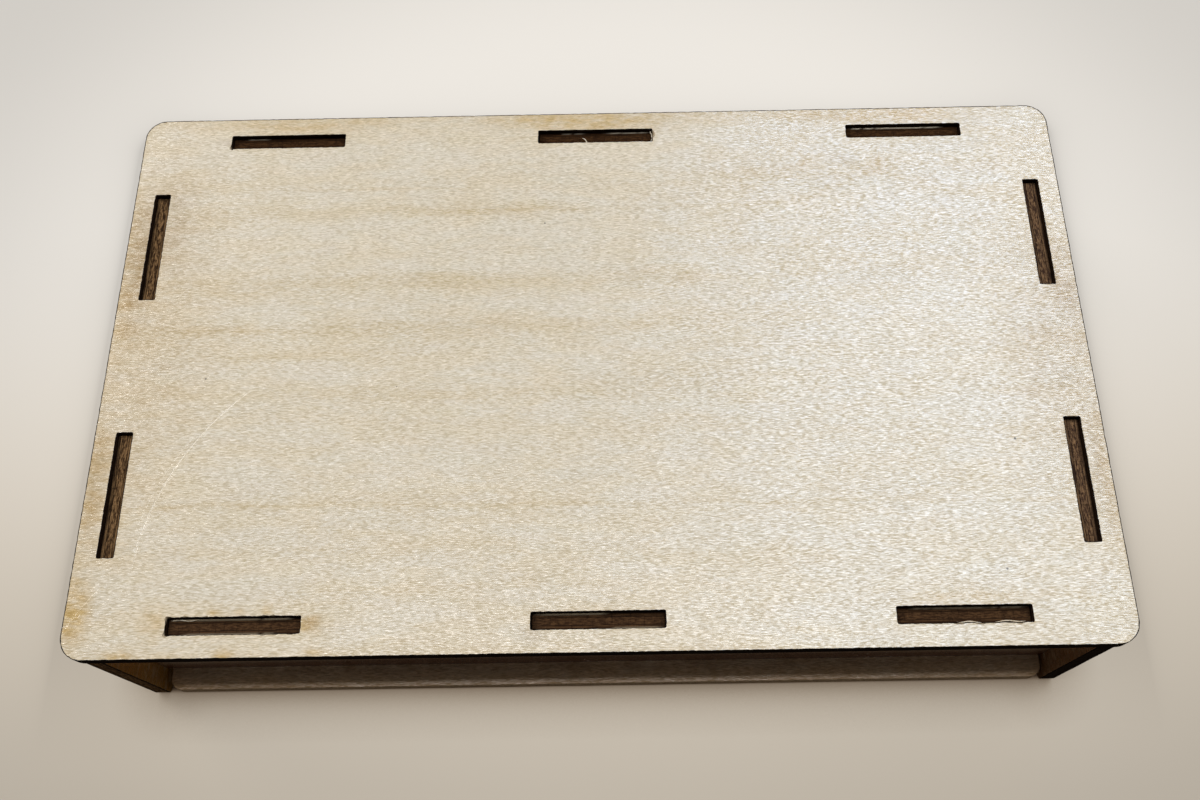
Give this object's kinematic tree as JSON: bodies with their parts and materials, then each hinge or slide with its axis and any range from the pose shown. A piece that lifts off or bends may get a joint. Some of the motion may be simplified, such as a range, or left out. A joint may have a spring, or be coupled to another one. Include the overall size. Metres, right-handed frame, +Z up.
{
  "type": "hinged plywood box",
  "caption": "Flat rectangular box of laser-cut plywood: walls tabbed into a slotted rounded panel, and a hinged panel on two pins that closes the other side.",
  "frame": {"origin": "middle of the box on the plane that it stands on, which the lower edges of the side walls touch", "axes": "+X to the right along the length, +Y to the hinged back, +Z up to the slotted panel; the box lies as in the picture, slotted panel up"},
  "size_m": [0.2, 0.118, 0.0415],
  "materials": {
    "panel_veneer": "bare sanded plywood with laser-burnt edges",
    "wall_veneer": "bare sanded plywood with laser-burnt edges",
    "pin_steel": "bright drawn steel"
  },
  "bodies": {
    "hinged_side": {"hinged_panel": "panel_veneer", "left_hinge_pin": "pin_steel", "right_hinge_pin": "pin_steel"},
    "walled_side": {"slotted_panel": "panel_veneer", "front_wall": "wall_veneer", "back_wall": "wall_veneer", "left_wall": "wall_veneer", "right_wall": "wall_veneer"}
  },
  "joints": [
    {"name": "box_hinge", "type": "hinge", "parent": "hinged_side", "child": "walled_side", "pos_m": [0, 0.05605, 0.003], "axis": [-1, 0, 0], "range_deg": [0, 90]}
  ]
}
